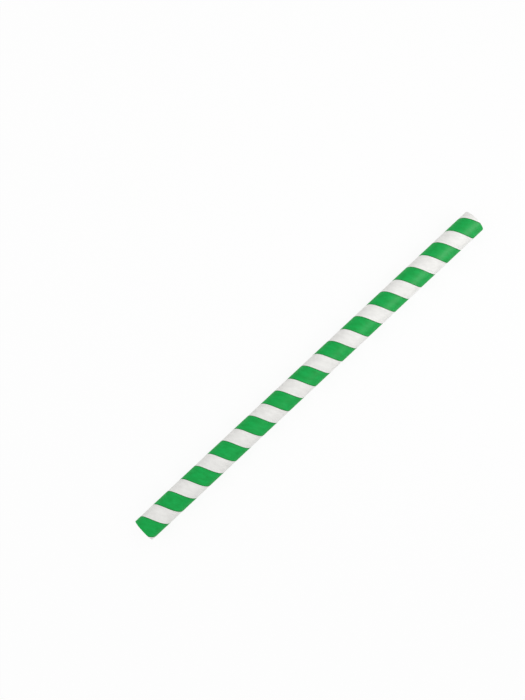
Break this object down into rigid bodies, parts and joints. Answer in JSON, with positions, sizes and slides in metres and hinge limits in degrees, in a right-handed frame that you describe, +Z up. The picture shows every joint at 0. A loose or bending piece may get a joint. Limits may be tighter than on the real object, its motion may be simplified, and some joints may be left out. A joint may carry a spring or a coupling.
{
  "type": "paper drinking straw",
  "caption": "Straight spiral-wound paper drinking straw, open right through and cut square, white with one green stripe wound round it.",
  "frame": {"origin": "middle of the straw's length, on the surface that it lies on, straight under its axis", "axes": "+X along the straw's axis towards the end that the picture shows at the upper right, +Z up"},
  "size_m": [0.22, 0.012, 0.0121],
  "materials": {
    "white_paper": "matte",
    "green_print": "matte"
  },
  "bodies": {
    "root": {"paper_tube": "white_paper", "green_stripe": "green_print"}
  },
  "joints": []
}
